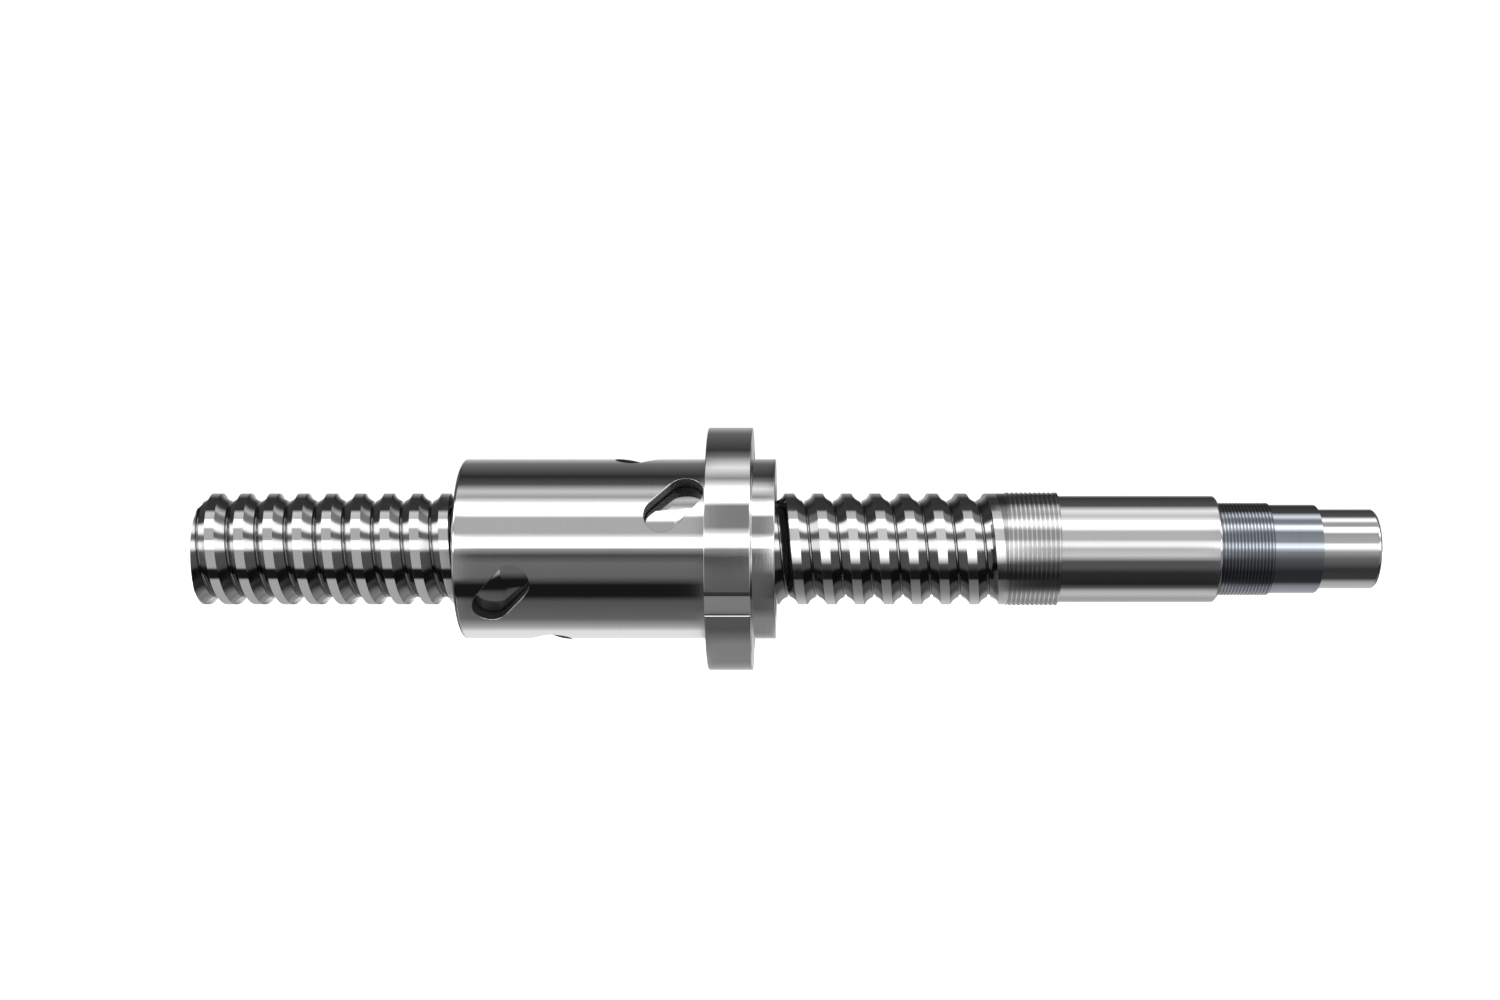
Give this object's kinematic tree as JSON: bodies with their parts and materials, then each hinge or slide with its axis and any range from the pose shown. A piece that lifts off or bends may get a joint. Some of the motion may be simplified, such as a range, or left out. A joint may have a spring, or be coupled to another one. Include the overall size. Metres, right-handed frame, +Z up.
{
  "type": "ball screw assembly",
  "caption": "Right-hand ball screw with a flanged recirculating ball nut, wipers, and a stepped and threaded drive end for a support bearing and a coupling.",
  "frame": {"origin": "the screw axis at the middle of the overall length, which is the centre of the bounding box", "axes": "+X along the screw axis towards the drive end, +Z up; the nut flange and the screw are round about X"},
  "size_m": [0.409, 0.085, 0.085],
  "materials": {
    "screw_steel": "ground and polished",
    "nut_steel": "ground and polished",
    "insert_steel": "fine sintered, satin",
    "ball_steel": "lapped",
    "wiper": "matte",
    "spring_steel": "oiled black"
  },
  "bodies": {
    "screw": {"screw_shaft": "screw_steel"},
    "retainers": {"wiper_retaining_ring_left": "spring_steel", "wiper_retaining_ring_right": "spring_steel"},
    "nut": {"nut_body": "nut_steel", "deflector_1": "insert_steel", "deflector_2": "insert_steel", "deflector_3": "insert_steel", "deflector_4": "insert_steel", "deflector_5": "insert_steel", "deflector_6": "insert_steel", "ball_train_1": "ball_steel", "ball_train_2": "ball_steel", "ball_train_3": "ball_steel", "ball_train_4": "ball_steel", "ball_train_5": "ball_steel", "ball_train_6": "ball_steel", "wiper_left": "wiper", "wiper_right": "wiper", "lube_port_plug": "spring_steel"}
  },
  "joints": [
    {"name": "nut_travel", "type": "slide", "parent": "screw", "child": "retainers", "axis": [1, 0, 0], "range_m": [-0.08, 0.07]},
    {"name": "nut_turn", "type": "hinge", "parent": "retainers", "child": "nut", "pos_m": [0, 0, 0], "axis": [1, 0, 0], "range_deg": [-2880, 2520]}
  ],
  "couplings": [
    {"joint": "nut_travel", "follows": "nut_turn", "m_per_rad": 0.0015915}
  ]
}
